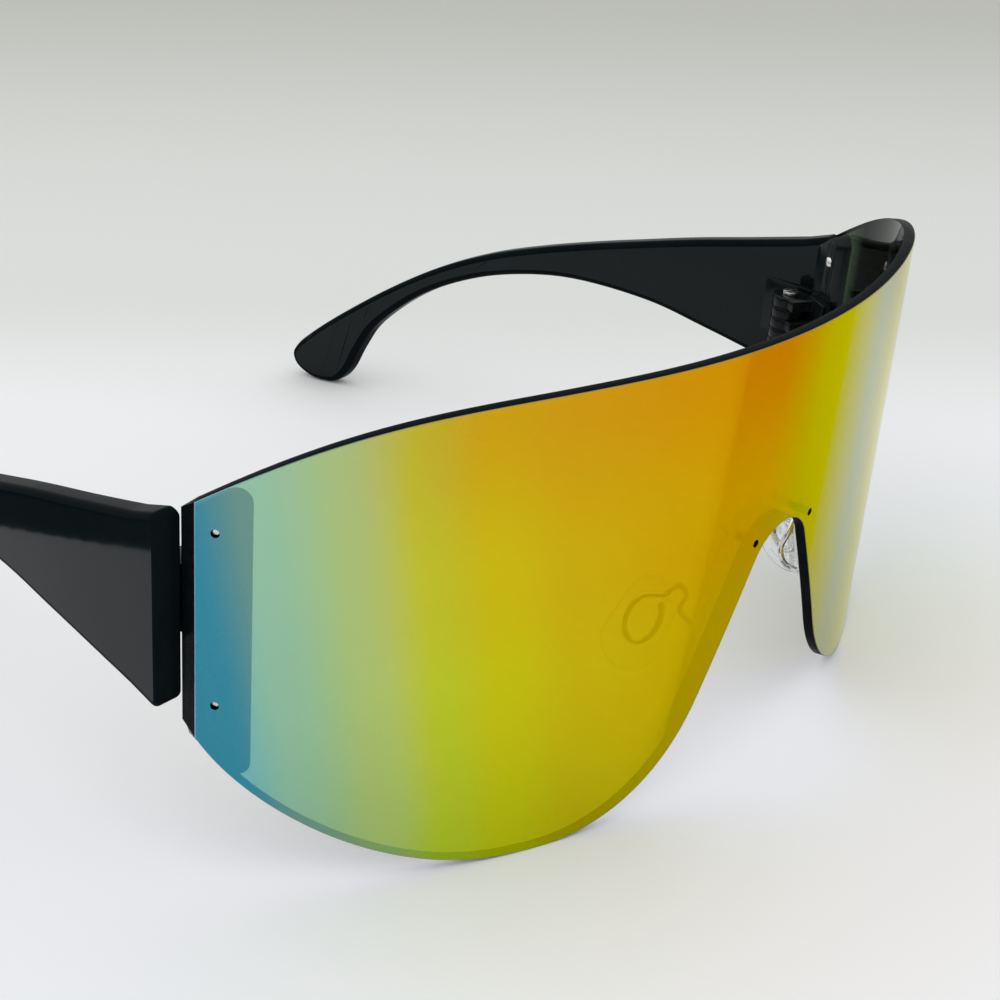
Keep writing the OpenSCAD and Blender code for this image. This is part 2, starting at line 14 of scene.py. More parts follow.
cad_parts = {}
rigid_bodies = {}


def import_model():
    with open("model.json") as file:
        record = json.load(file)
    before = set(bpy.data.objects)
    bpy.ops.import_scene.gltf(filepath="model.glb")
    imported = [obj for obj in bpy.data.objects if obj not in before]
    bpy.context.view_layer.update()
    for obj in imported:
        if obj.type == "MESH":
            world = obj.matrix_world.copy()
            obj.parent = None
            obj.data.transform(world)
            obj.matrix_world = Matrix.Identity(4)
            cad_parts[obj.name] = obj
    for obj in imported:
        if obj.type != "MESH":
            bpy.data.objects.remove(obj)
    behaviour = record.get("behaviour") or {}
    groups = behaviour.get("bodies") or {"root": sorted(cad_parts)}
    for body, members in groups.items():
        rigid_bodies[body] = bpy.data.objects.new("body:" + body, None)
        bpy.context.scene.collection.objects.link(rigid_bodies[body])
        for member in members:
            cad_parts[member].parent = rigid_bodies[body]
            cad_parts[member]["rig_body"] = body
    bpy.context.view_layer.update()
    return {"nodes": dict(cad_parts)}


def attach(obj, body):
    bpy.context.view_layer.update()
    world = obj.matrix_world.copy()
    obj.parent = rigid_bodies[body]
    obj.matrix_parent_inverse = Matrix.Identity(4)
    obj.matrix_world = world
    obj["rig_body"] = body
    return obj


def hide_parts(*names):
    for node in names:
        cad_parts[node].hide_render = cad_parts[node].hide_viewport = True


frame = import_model()

# %% [markdown]
# ## Where the pieces are
# The glasses are measured in their own lens frame, in millimetres: the middle of the lens's top front
# edge is zero, the lens faces -Y and the temples run to +Y. On the table that frame leans forward,
# because the lens stands on its two lobes and the temples on their tips. One matrix takes a finished
# mesh from the lens frame to the table, so every piece can be drawn upright and plain. The zero point is
# the lens's foremost point, and the lens's cut ends lie half a width to either side of it.

# %% The lens frame on the table
mm, half_w = 0.001, 70.8
lean = math.radians(4)
zero = min((v.co.copy() for v in frame["nodes"]["lens_shield"].data.vertices), key=lambda co: co.y)
turn = Matrix.Rotation(lean, 4, "X")
stand = Matrix.Translation((0, zero.y, zero.z)) @ turn @ Matrix.Scale(mm, 4)
mirror_x = Matrix.Scale(-1, 4, (1, 0, 0))
sides = (("left", Matrix.Identity(4)), ("right", mirror_x))
print("lens frame's zero on the table", [round(v, 5) for v in stand.translation])

# %% [markdown]
# ## Camera
# The view is the photograph's: from the front right of the wearer, a little above. Its place and its
# turn were found by matching the rivets, the hinges and both temples, so it is written in the lens frame
# as a place and three directions, and then leaned with the glasses.

# %% Camera
camera = bpy.data.objects.new("camera", bpy.data.cameras.new("camera"))
bpy.context.scene.collection.objects.link(camera)
camera_at = Vector((-197.05, -106.31, 86.52))
right, up = Vector((0.6440, -0.7616, 0.0723)), Vector((0.3109, 0.3469, 0.8849))
ahead = Vector((0.6990, 0.5474, -0.4602))
camera_turn = Matrix((right, up, -ahead)).transposed().to_4x4()
camera.matrix_world = Matrix.Translation(stand @ camera_at) @ turn @ camera_turn
camera.data.sensor_width = 36
camera.data.lens = 67.8
camera.data.clip_start = 0.01
camera.data.clip_end = 20
bpy.context.scene.camera = camera
print("camera stands at", [round(v, 3) for v in camera.matrix_world.translation])

# %% [markdown]
# ## Materials
# Each finish is one Principled shader whose colour and roughness come from nodes. The helpers below add
# the nodes that all finishes share: a place on the object, a colour ramp, a faint noise, and a little
# bump.

# %% Material helpers
def new_finish(name, **values):
    finish = bpy.data.materials.new(name)
    finish.use_nodes = True
    shader = finish.node_tree.nodes["Principled BSDF"]
    for socket, value in values.items():
        shader.inputs[socket.replace("_", " ").title().replace("Ior", "IOR")].default_value = value
    return finish, finish.node_tree.nodes, finish.node_tree.links, shader


def grey(level):
    return (level,) * 3


def add_place(nodes):
    return nodes.new("ShaderNodeTexCoord").outputs["Object"]


def add_facing(nodes):
    """0 where a surface is seen square on, and 1 where the view runs along it."""
    weight = nodes.new("ShaderNodeLayerWeight")
    weight.inputs["Blend"].default_value = 0.5
    return weight.outputs["Facing"]


def add_ramp(nodes, links, value, stops, blend="EASE"):
    ramp = nodes.new("ShaderNodeValToRGB")
    ramp.color_ramp.interpolation = blend
    while len(ramp.color_ramp.elements) < len(stops):
        ramp.color_ramp.elements.new(0.5)
    for element, (place, colour) in zip(ramp.color_ramp.elements, stops):
        element.position = place
        element.color = (*colour, 1)
    links.new(value, ramp.inputs["Fac"])
    return ramp.outputs["Color"]


def add_noise(nodes, links, place, scale, detail=3):
    noise = nodes.new("ShaderNodeTexNoise")
    noise.inputs["Scale"].default_value = scale
    noise.inputs["Detail"].default_value = detail
    links.new(place, noise.inputs["Vector"])
    return noise.outputs["Fac"]


def add_range(nodes, links, value, low, high, to_low, to_high):
    mapped = nodes.new("ShaderNodeMapRange")
    for socket, number in zip(("From Min", "From Max", "To Min", "To Max"), (low, high, to_low, to_high)):
        mapped.inputs[socket].default_value = number
    links.new(value, mapped.inputs["Value"])
    return mapped.outputs["Result"]


def add_math(nodes, links, operation, *values):
    node = nodes.new("ShaderNodeMath")
    node.operation = operation
    for socket, value in zip(node.inputs, values):
        if isinstance(value, (int, float)):
            socket.default_value = value
        else:
            links.new(value, socket)
    return node.outputs[0]


def add_across(nodes, links):
    """How far a place lies from the lens's middle to its cut end, as 0 to 1, and its height in metres."""
    split = nodes.new("ShaderNodeSeparateXYZ")
    links.new(add_place(nodes), split.inputs[0])
    sideways = add_math(nodes, links, "ABSOLUTE", split.outputs["X"])
    return add_range(nodes, links, sideways, 0.0, mm * half_w, 0, 1), split.outputs["Z"]


def vary_roughness(nodes, links, shader, noise, low, high):
    """Lets the roughness follow a noise between two values."""
    links.new(add_range(nodes, links, noise, 0.3, 0.7, low, high), shader.inputs["Roughness"])


def add_colour_mix(nodes, links, kind, factor, first, second):
    mix = nodes.new("ShaderNodeMix")
    mix.data_type = "RGBA"
    mix.blend_type = kind
    if isinstance(factor, (int, float)):
        mix.inputs["Factor"].default_value = factor
    else:
        links.new(factor, mix.inputs["Factor"])
    links.new(first, mix.inputs["A"])
    links.new(second, mix.inputs["B"])
    return mix.outputs["Result"]


def add_bump(nodes, links, shader, height, strength, distance):
    bump = nodes.new("ShaderNodeBump")
    bump.inputs["Strength"].default_value = strength
    bump.inputs["Distance"].default_value = distance
    links.new(height, bump.inputs["Height"])
    links.new(bump.outputs["Normal"], shader.inputs["Normal"])


def see_through(finish, shader, factor, tint):
    """Lets a share of the light straight through a finish, with a tint of its own."""
    nodes, links = finish.node_tree.nodes, finish.node_tree.links
    clear, mix = nodes.new("ShaderNodeBsdfTransparent"), nodes.new("ShaderNodeMixShader")
    if isinstance(tint, tuple):
        clear.inputs["Color"].default_value = (*tint, 1)
    else:
        links.new(tint, clear.inputs["Color"])
    links.new(factor, mix.inputs["Fac"])
    links.new(shader.outputs[0], mix.inputs[1])
    links.new(clear.outputs[0], mix.inputs[2])
    links.new(mix.outputs[0], nodes["Material Output"].inputs["Surface"])


print("material helpers ready")

# %% [markdown]
# ### The mirror coating
# The coating is a metal film that fades from teal at the cut ends through pale green and yellow to orange in
# the middle. Its colour follows the place across the lens, in bands that lean a little outward. A second
# ramp makes the upper part more orange, and paints the lower part darker and more olive, except near the
# ends: that is painted shade, standing for the shaded floor that the lens's lower part mirrors.

# %% Coating by place
coating, nodes, links, shader = new_finish("mirror_coating", metallic=1.0, specular_tint=(1.0, 0.9, 0.45, 1))
across, upward = add_across(nodes, links)
coat_stops = [(0.0, (0.72, 0.5, 0.0)), (0.3, (0.71, 0.48, 0.0)), (0.5, (0.71, 0.53, 0.0)),
              (0.64, (0.7, 0.65, 0.0)), (0.74, (0.58, 0.69, 0.03)), (0.83, (0.46, 0.65, 0.25)),
              (0.93, (0.3, 0.58, 0.47)), (0.99, (0.08, 0.5, 0.68))]
# painted shade: the lowest stops darken the coating's lower part as if it mirrored the shaded floor; the top
# stops make it more orange
orange_top_shaded_foot_stops = [(0.0, (0.84, 1.0, 1.0)), (0.4, (0.96, 1.0, 1.0)), (0.62, (1.0, 0.84, 1.0)),
                (1.0, (1.0, 0.5, 1.0))]
slant = add_range(nodes, links, upward, 0.01, 0.058, 0.04, -0.03)
coat = add_ramp(nodes, links, add_math(nodes, links, "ADD", across, slant), coat_stops)
height = add_ramp(nodes, links, add_range(nodes, links, upward, 0.0, 0.064, 0, 1), orange_top_shaded_foot_stops)
off_the_ends = add_range(nodes, links, across, 0.7, 0.95, 1, 0)
coat = add_colour_mix(nodes, links, "MULTIPLY", off_the_ends, coat, height)
print("coating stops", len(coat_stops), "over", len(orange_top_shaded_foot_stops))

# %% [markdown]
# Seen along its surface such a film turns pale green and then silver, as every interference film does.
# So a Layer Weight leads from the colour of the place to the colours of the low angles. Behind the film
# the sheet is tinted: a little light comes through in the middle and more near the ends, where the film
# is thin, which shows the black end plates as a darker teal.

# %% Coating at low angles, and what comes through
facing = add_facing(nodes)
low_stops = [(0.5, (0.64, 0.5, 0.0)), (0.562, (0.58, 0.52, 0.0)), (0.658, (0.6, 0.61, 0.0)),
             (0.724, (0.56, 0.63, 0.4)), (0.792, (0.43, 0.6, 1.0)), (0.861, (0.47, 0.6, 1.0))]
low_angle = add_ramp(nodes, links, facing, low_stops, "LINEAR")
turned = add_range(nodes, links, facing, 0.51, 0.6, 0, 1)
links.new(add_colour_mix(nodes, links, "MIX", turned, coat, low_angle), shader.inputs["Base Color"])
smears = add_noise(nodes, links, add_place(nodes), 60, 4)
vary_roughness(nodes, links, shader, smears, 0.05, 0.09)
opening_stops = [(0.0, grey(0.29)), (0.72, grey(0.3)), (0.86, grey(0.42)), (1.0, grey(0.48))]
opening = add_math(nodes, links, "MULTIPLY", add_ramp(nodes, links, across, opening_stops),
                   add_range(nodes, links, facing, 0.6, 0.9, 1, 0))
tint_stops = [(0.0, (1.0, 0.68, 0.0)), (0.76, (0.9, 0.85, 0.05)), (0.95, (0.75, 0.85, 0.45))]
see_through(coating, shader, opening, add_ramp(nodes, links, across, tint_stops))
print("low angle stops", len(low_stops))

# %% [markdown]
# ### The sheet's back and edges
# The back of the sheet is a clear gloss over the smoke tint: a Fresnel factor decides how much is mirrored
# and how much goes through. The tint is light, a little bluish at the ends, and it deepens at low angles,
# where light takes a longer way through it. The cut edges are dark. The narrow chamfer on the front edge is
# painted a little lighter than the edge, and bluish at the ends: a painted glow that stands for light run
# through the sheet.

# %% Back, rim and chamfer
lens_back, nodes, links, shader = new_finish("smoke_back", metallic=1.0, base_color=(0.9, 0.92, 0.93, 1))
wear = add_noise(nodes, links, add_place(nodes), 220)
vary_roughness(nodes, links, shader, wear, 0.03, 0.06)
fresnel = nodes.new("ShaderNodeFresnel")
fresnel.inputs["IOR"].default_value = 1.2
across, _ = add_across(nodes, links)
smoke = add_ramp(nodes, links, across, [(0.0, grey(0.8)), (0.74, grey(0.7)), (0.88, (0.5, 0.72, 0.72))])
deep_stops = [(0.42, grey(1.0)), (0.62, grey(0.01))]
deepened = add_ramp(nodes, links, add_facing(nodes), deep_stops, "LINEAR")
smoke = add_colour_mix(nodes, links, "MULTIPLY", 1.0, smoke, deepened)
see_through(lens_back, shader, add_math(nodes, links, "SUBTRACT", 1.0, fresnel.outputs[0]), smoke)


def black_gloss(name, colour, roughness, grain, depth=0.0, ior=1.5):
    finish, nodes, links, shader = new_finish(name, ior=ior)
    noise = add_noise(nodes, links, add_place(nodes), grain)
    tones = [(0.35, colour), (0.7, tuple(1.3 * c for c in colour))]
    links.new(add_ramp(nodes, links, noise, tones), shader.inputs["Base Color"])
    vary_roughness(nodes, links, shader, noise, roughness * 0.8, roughness * 1.2)
    if depth:
        add_bump(nodes, links, shader, noise, 0.2, depth)
    return finish


lens_rim = black_gloss("cut_rim", (0.004, 0.006, 0.007), 0.3, 900, 0.00001, 1.04)
acetate = black_gloss("polished_black_acetate", (0.0022, 0.0048, 0.0058), 0.05, 90, 0, 1.27)
acetate_edge = black_gloss("tumbled_acetate_edge", (0.003, 0.005, 0.006), 0.2, 90, 0, 1.06)
lacquer = black_gloss("black_lacquer", (0.003, 0.005, 0.006), 0.18, 700, 0.00002, 1.25)
# painted glow: the chamfer's colour is lighter than the dark edge, standing for light run through the sheet
chamfer, nodes, links, shader = new_finish("chamfer_painted_glow", roughness=0.25)
across, _ = add_across(nodes, links)
chamfer_glow_stops = [(0.0, (0.2, 0.16, 0.02)), (0.7, (0.26, 0.25, 0.08)), (0.93, (0.1, 0.2, 0.18)),
              (0.985, (0.2, 0.36, 0.45))]
links.new(add_ramp(nodes, links, across, chamfer_glow_stops), shader.inputs["Base Color"])
print("sheet and black finishes ready")

# %% [markdown]
# ### Silver metal and clear silicone
# Rivets, screws and the nosepiece's wire are bright nickel silver with a fine drawn grain. The pads are
# soft clear silicone: most light goes straight through, less at the rims, and the surface is a little
# satin.

# %% Silver and silicone
silver, nodes, links, shader = new_finish("nickel_silver", metallic=1.0)
grain = add_noise(nodes, links, add_place(nodes), 2500, 4)
vary_roughness(nodes, links, shader, grain, 0.16, 0.3)
silver_tones = [(0.3, (0.62, 0.62, 0.61)), (0.7, (0.76, 0.76, 0.74))]
links.new(add_ramp(nodes, links, grain, silver_tones), shader.inputs["Base Color"])
silicone, nodes, links, shader = new_finish("clear_silicone", transmission_weight=1.0, ior=1.12)
haze = add_noise(nodes, links, add_place(nodes), 900)
vary_roughness(nodes, links, shader, haze, 0.02, 0.08)
haze_tones = [(0.3, (0.93, 0.95, 0.95)), (0.7, (0.97, 0.98, 0.98))]
links.new(add_ramp(nodes, links, haze, haze_tones), shader.inputs["Base Color"])
straight_through = add_range(nodes, links, add_facing(nodes), 0.3, 0.9, 0.93, 0.5)
see_through(silicone, shader, straight_through, (0.98, 0.99, 0.99))
print("silver and silicone ready")

# %% [markdown]
# ## From a bmesh to a piece
# Each new shape is drawn in the lens frame and in millimetres. The first helpers slice a sheet and give
# it a second skin. The last ones take a shape to the table, smooth its shading, give it its finish, let
# it ride on its body and say which CAD node it stands for.

# %% Sheet helpers
def slice_at(bm, place, direction, dist=0.01, **extra):
    return bmesh.ops.bisect_plane(bm, geom=bm.verts[:] + bm.edges[:] + bm.faces[:], dist=dist,
                                  plane_co=place, plane_no=direction, **extra)


def second_skin(bm):
    """Gives a flat sheet a second skin in its own place, and returns the skin's vertices."""
    made = bmesh.ops.extrude_face_region(bm, geom=bm.faces[:], use_keep_orig=True)["geom"]
    return {v for v in made if isinstance(v, bmesh.types.BMVert)}


print("sheet helpers ready")

# %% Finishing helpers
def wrap(bm, name, node, finishes, smooth=35):
    mesh = bpy.data.meshes.new(name)
    bm.to_mesh(mesh)
    bm.free()
    piece = bpy.data.objects.new(name, mesh)
    bpy.context.scene.collection.objects.link(piece)
    for finish in finishes:
        mesh.materials.append(finish)
    mesh.shade_smooth()
    mesh.set_sharp_from_angle(angle=math.radians(smooth))
    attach(piece, frame["nodes"][node]["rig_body"])
    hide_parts(node)
    print(name, len(mesh.polygons), "faces")
    return piece


def finish_piece(bm, name, node, finishes, place=Matrix.Identity(4), smooth=35):
    bmesh.ops.transform(bm, matrix=stand @ place, verts=bm.verts)
    bmesh.ops.recalc_face_normals(bm, faces=bm.faces)
    return wrap(bm, name, node, finishes, smooth)


print("finishing helpers ready")

# %% [markdown]
# ## The lens
# The sheet is bent, not moulded: seen from above its front is an arc of 100 mm radius in the middle that
# runs into tighter arcs at the sides. So the outline is drawn flat, cut into narrow upright strips, and
# each point is then pushed back to the arc. That gives a mesh as smooth as the real sheet, with its
# outline exact.

# %% Lens sizes
lens_t, lens_h = 1.6, 64.6
middle_r, middle_angle, wrap_angle = 100.0, math.radians(22), math.radians(59.87)
side_r = (half_w - middle_r * math.sin(middle_angle)) / (math.sin(wrap_angle) - math.sin(middle_angle))
side_c = ((middle_r - side_r) * math.sin(middle_angle),
          middle_r - (middle_r - side_r) * math.cos(middle_angle))


def sheet_y(x, depth=0.0):
    x = abs(x)
    if x < (middle_r - depth) * math.sin(middle_angle):
        return middle_r - math.sqrt((middle_r - depth) ** 2 - x * x)
    return side_c[1] - math.sqrt((side_r - depth) ** 2 - (x - side_c[0]) ** 2)


def facing_out(x, depth=0.0):
    """Direction straight out of the sheet's front, in the lens frame, at a distance from the middle."""
    d = abs(x)
    r, cx = (middle_r, 0.0) if d < (middle_r - depth) * math.sin(middle_angle) else (side_r, side_c[0])
    across = (d - cx) / (r - depth)
    return Vector((math.copysign(across, x), -math.sqrt(1 - across * across), 0))


print("side radius", round(side_r, 2), "depth of the sheet", round(sheet_y(half_w), 2), "mm")

# %% [markdown]
# The outline has a nearly straight top edge that drops at the ends, two round lobes, and the nose notch,
# whose round top runs into the lobes by straight walls. Only one half is worked out, and the other is
# its mirror image. It runs a little past the cut ends, because the back skin reaches further than the
# front there.

# %% Lens outline
notch_r, notch_z, notch_angle = 6.7, -34.1, math.radians(25.3)
lobe_r, lobe_flat, cut_angle, outer_h = 26.0, 3.7, math.radians(16.3), 25.6
top_drop, top_power, top_steps = 14.0, 6.4, 70
lobe_z = lobe_r - lens_h
lobe_cx = (notch_r + lobe_r + (notch_z - lobe_z) * math.sin(notch_angle)) / math.cos(notch_angle)
lobe_x = lobe_cx + lobe_flat
outer_w = (half_w - lobe_x) / math.cos(cut_angle)


def top_z(x):
    """Height of the lens's top edge."""
    return -top_drop * (abs(x) / half_w) ** top_power


def arc(cx, cz, w, h, start, end, steps):
    turns = [start + (end - start) * i / steps for i in range(steps + 1)]
    return [(cx + w * math.cos(a), cz + h * math.sin(a)) for a in turns]


quarter = math.pi / 2
half_outline = arc(0, notch_z, notch_r, notch_r, quarter, notch_angle, 16)
half_outline += arc(lobe_cx, lobe_z, lobe_r, lobe_r, math.pi + notch_angle, 3 * quarter, 20)
half_outline += arc(lobe_x, outer_h - lens_h, outer_w, outer_h, -quarter, -cut_angle, 50)
end_low = half_outline[-1][1]
past, rise_past, drop_past = 1.2, 1.3, 1.6
half_outline += [(half_w + past, end_low + rise_past * past), (half_w + past, -top_drop - drop_past * past)]
half_outline += [(x, top_z(x)) for x in (half_w * (1 - i / top_steps) for i in range(top_steps))]
outline = half_outline + [(0, 0)] + [(-x, z) for x, z in reversed(half_outline[1:])]
print("outline points", len(outline))

# %% [markdown]
# The flat outline is cut every 1.5 mm, given a second skin straight behind the first, and bent, so its edges
# are square to the sheet. A plane that turns a little inward then cuts each end. The long edges get a narrow
# bevel, whose front half is the chamfer with its painted glow.

# %% Lens sheet
end_turn, strip, chamfer_w = math.radians(7), 1.5, 0.08


def lens_sheet():
    bm = bmesh.new()
    bm.faces.new([bm.verts.new((x, 0, z)) for x, z in outline])
    bmesh.ops.remove_doubles(bm, verts=bm.verts, dist=0.05)
    strips = int(half_w / strip)
    for step in range(-strips, strips + 1):
        slice_at(bm, (strip * step, 0, 0), (1, 0, 0))
    back = second_skin(bm)
    for v in bm.verts:
        x = v.co.x
        v.co = Vector((x, sheet_y(x), v.co.z)) - (lens_t if v in back else 0.0) * facing_out(x)
    for end in (1, -1):
        cut = slice_at(bm, (end * half_w, sheet_y(half_w), 0),
                       (end * math.cos(end_turn), math.sin(end_turn), 0), dist=0.0001, clear_outer=True)
        bmesh.ops.holes_fill(bm, edges=[e for e in cut["geom_cut"] if isinstance(e, bmesh.types.BMEdge)])
    bmesh.ops.recalc_face_normals(bm, faces=bm.faces)
    for f in bm.faces:
        outward = f.normal.dot(facing_out(f.calc_center_median().x))
        f.material_index = 0 if outward > 0.95 else 1 if outward < -0.95 else 2
    rim = [e for e in bm.edges if {f.material_index for f in e.link_faces} in ({0, 2}, {1, 2})]
    made = bmesh.ops.bevel(bm, geom=rim, offset=chamfer_w, segments=2, profile=0.5, affect="EDGES",
                           material=-1, clamp_overlap=False, offset_type="OFFSET")
    for f in made["faces"]:
        middle = f.calc_center_median()
        f.material_index = 3 if middle.y < sheet_y(middle.x, lens_t / 2) else 2
    return bm


lens = finish_piece(lens_sheet(), "mirror_lens", "lens_shield", [coating, lens_back, lens_rim, chamfer],
                    smooth=40)

# %% [markdown]
# Six rivet holes run through the sheet: two at each cut end, square to the surface there, and two over
# the notch. One Boolean with six drills makes them. The drills are gone once the modifier is applied.

# %% Rivet holes
hole_r, pin_r, pin_recess, plate_t, band_t = 0.55, 0.5, 0.45, 1.5, 1.0
pin_from_end, pin_below_top, pin_above_bottom, drill_past = 1.25, 5.2, 8, 1
pin_x = half_w - pin_from_end
lobe_low = outer_h * (1 - math.sqrt(1 - ((pin_x - lobe_x) / outer_w) ** 2)) - lens_h
pin_zs = {"upper": top_z(pin_x) - pin_below_top, "lower": lobe_low + pin_above_bottom}
band_from_notch, band_w, band_pin_angle = 0.8, 2.2, math.radians(50)
band_mid_r = notch_r + band_from_notch + band_w / 2
band_pin_x = band_mid_r * math.sin(band_pin_angle)
band_pin_z = notch_z + band_mid_r * math.cos(band_pin_angle)


def along(origin, direction):
    """A place whose Z axis points in a direction."""
    return Matrix.Translation(origin) @ direction.to_track_quat("Z", "Y").to_matrix().to_4x4()


pin_places = {"lens_pin_" + level: along(Vector((pin_x, sheet_y(pin_x), z)), -facing_out(pin_x))
              for level, z in pin_zs.items()}
pin_places["band_pin"] = along(Vector((band_pin_x, sheet_y(band_pin_x), band_pin_z)), Vector((0, 1, 0)))
drill_bm = bmesh.new()
for side, flip in sides:
    for place in pin_places.values():
        bmesh.ops.create_cone(drill_bm, cap_ends=True, segments=40, radius1=hole_r, radius2=hole_r,
                              depth=2 * lens_t + drill_past,
                              matrix=stand @ flip @ place @ Matrix.Translation((0, 0, lens_t / 2)))
bmesh.ops.recalc_face_normals(drill_bm, faces=drill_bm.faces)
for f in drill_bm.faces:
    f.material_index = 2
print("drills", len(pin_places) * 2, "lower pin at", round(pin_zs["lower"], 2), "mm")

# %% Drill the lens
drill_mesh = bpy.data.meshes.new("drills")
drill_bm.to_mesh(drill_mesh)
drill_bm.free()
for finish in (coating, lens_back, lens_rim):
    drill_mesh.materials.append(finish)
drill = bpy.data.objects.new("drills", drill_mesh)
bpy.context.scene.collection.objects.link(drill)
cut = lens.modifiers.new("holes", "BOOLEAN")
cut.operation, cut.solver, cut.object = "DIFFERENCE", "EXACT", drill
drilled = bpy.data.meshes.new_from_object(lens.evaluated_get(bpy.context.evaluated_depsgraph_get()))
lens.modifiers.clear()
lens.data = drilled
bpy.data.objects.remove(drill)
print("drilled lens", len(drilled.polygons), "faces")

# %% [markdown]
# A mirror shows every flaw of its normals, and the strips and holes leave small ones. The true direction
# at each place is known, so the front and the back get it as custom normals.

# %% Exact normals for the mirror
to_lens = stand.inverted()
normals = [n.vector.copy() for n in drilled.corner_normals]
for polygon in drilled.polygons:
    if polygon.material_index in (0, 1):
        for corner in polygon.loop_indices:
            co = to_lens @ drilled.vertices[drilled.loops[corner].vertex_index].co
            on_back = polygon.material_index == 1
            out = facing_out(co.x, lens_t if on_back else 0.0)
            normals[corner] = turn.to_3x3() @ (-out if on_back else out)
drilled.normals_split_custom_set(normals)
print("normals set on", sum(p.material_index < 2 for p in drilled.polygons), "faces")

# %% [markdown]
# ## The temples
# Each temple is cut from a 3.9 mm sheet of black acetate and bowed slightly inward. It is drawn in side
# view: a straight front end with small round corners, then the long arm that narrows, bends down behind
# the ear and ends in a round tip. Smooth curves run through a few places, each a share of the length and
# of the drop.

# %% Temple sizes
temple_l, temple_t, bow_r, slope, temple_top, corner_r = 113.8, 3.9, 1350.0, math.radians(3.7), 15.3, 1.2
temple_beside_share, temple_gap, tip_low = 0.68, 0.2, 0.936
end_angle = math.asin((half_w - side_c[0]) / side_r)
temple_front = sheet_y(half_w) + temple_beside_share * lens_t / math.cos(end_angle)
temple_x = half_w + temple_gap + temple_t
lens_low = min(z * math.cos(lean) + sheet_y(x) * math.sin(lean) for x, z in outline)
temple_drop = ((temple_front + tip_low * temple_l) * math.sin(lean) - lens_low) / math.cos(lean) - temple_top
top_shares = [(0.046, 0.027), (0.141, 0.078), (0.233, 0.126), (0.325, 0.179), (0.413, 0.231), (0.506, 0.291),
              (0.601, 0.362), (0.699, 0.458), (0.8, 0.585), (0.903, 0.736), (0.967, 0.842), (0.993, 0.897),
              (1, 0.934), (0.989, 0.972), (0.962, 0.996), (tip_low, 1)]
low_shares = [(tip_low, 1), (0.905, 0.985), (0.88, 0.933), (0.855, 0.832), (0.82, 0.725), (0.739, 0.583),
              (0.65, 0.48), (0.553, 0.407), (0.438, 0.36), (0.299, 0.355), (0.193, 0.383), (0.098, 0.413),
              (0.046, 0.43)]
bow_c = (temple_x - bow_r * math.cos(slope), temple_front - bow_r * math.sin(slope))


def bow_x(y, depth=0.0):
    return bow_c[0] + math.sqrt((bow_r - depth) ** 2 - (y - bow_c[1]) ** 2)


print("temple starts", round(temple_front, 2), "mm behind the lens's front and drops", round(temple_drop, 2))

# %% Smooth curves through places
curve_steps = 6


def smooth_line(points, steps=curve_steps):
    """Catmull-Rom curve through points given as Vectors."""
    line = []
    for i in range(len(points) - 1):
        a, b = points[max(i - 1, 0)], points[i]
        c, d = points[i + 1], points[min(i + 2, len(points) - 1)]
        for step in range(steps):
            t = step / steps
            square, cube = 2 * a - 5 * b + 4 * c - d, 3 * b - a - 3 * c + d
            line.append(0.5 * (2 * b + (c - a) * t + square * t * t + cube * t ** 3))
    return line + [points[-1]]


def temple_place(share):
    return Vector((temple_front + share[0] * temple_l, -temple_top - share[1] * temple_drop))


low_corner, high_corner = temple_place((0, 0.446)), temple_place((0, 0.002))
top_line = smooth_line([temple_place(share) for share in top_shares])
low_line = smooth_line([temple_place(share) for share in low_shares])
side_view = top_line + low_line[1:]
for corner, rise, start in ((low_corner, corner_r, math.pi), (high_corner, -corner_r, quarter)):
    bend = arc(corner.x + corner_r, corner.y + rise, corner_r, corner_r, start, start + quarter, curve_steps)
    side_view += [Vector(p) for p in reversed(bend)]
print("temple outline points", len(side_view))

# %% [markdown]
# The side view becomes a sheet in the same way as the lens: cut into short lengths, given a second skin
# and bowed. A Bevel modifier then rounds the long edges as tumbling leaves them, where the polish is a
# little duller. Edge weights let the rounding shrink at the front end, where the temple meets the lens.
# A Weighted Normal modifier keeps the broad faces flat in the light.

# %% Temple
edge_round, outer_front, inner_front = 1.1, 0.55, 0.12
temple_strips = 30


def temple():
    bm = bmesh.new()
    bm.faces.new([bm.verts.new((0, p.x, p.y)) for p in side_view])
    for step in range(1, temple_strips):
        slice_at(bm, (0, temple_front + step * temple_l / temple_strips, 0), (0, 1, 0))
    inner = second_skin(bm)
    for v in bm.verts:
        v.co.x = bow_x(v.co.y, temple_t if v in inner else 0.0)
    bmesh.ops.recalc_face_normals(bm, faces=bm.faces)
    for f in bm.faces:
        f.material_index = 1 if abs(f.normal.x) < 0.8 else 0
    weights = bm.edges.layers.float.new("bevel_weight_edge")
    for e in bm.edges:
        if {f.material_index for f in e.link_faces} == {0, 1}:
            behind = min(1, max(0, ((e.verts[0].co.y + e.verts[1].co.y) / 2 - temple_front) / corner_r))
            front = inner_front if e.verts[0] in inner else outer_front
            e[weights] = front + (1 - front) * behind
    return bm


for side, flip in sides:
    piece = finish_piece(temple(), "acetate_temple_" + side, "temple_" + side, [acetate, acetate_edge],
                         flip, smooth=180)
    rounding = piece.modifiers.new("rounding", "BEVEL")
    rounding.limit_method, rounding.use_clamp_overlap = "WEIGHT", False
    rounding.width, rounding.segments, rounding.material = mm * edge_round, 5, 1
    even = piece.modifiers.new("even_shading", "WEIGHTED_NORMAL")
    even.weight = 100
print("temple length", round(temple_l, 1), "mm, edges rounded by", edge_round, "mm")

# %% [markdown]
# ## Rivets
# Each rivet is one turned pin: its plain end sits a little below the front surface, and its domed head
# shows behind the end plate or the band. A short profile is spun once round.

# %% Rivets
head_r, head_h, head_break_w, head_break_h = 0.9, 0.5, 0.06, 0.08
end_break_w, end_break_h, dome_steps = 0.12, 0.1, 7


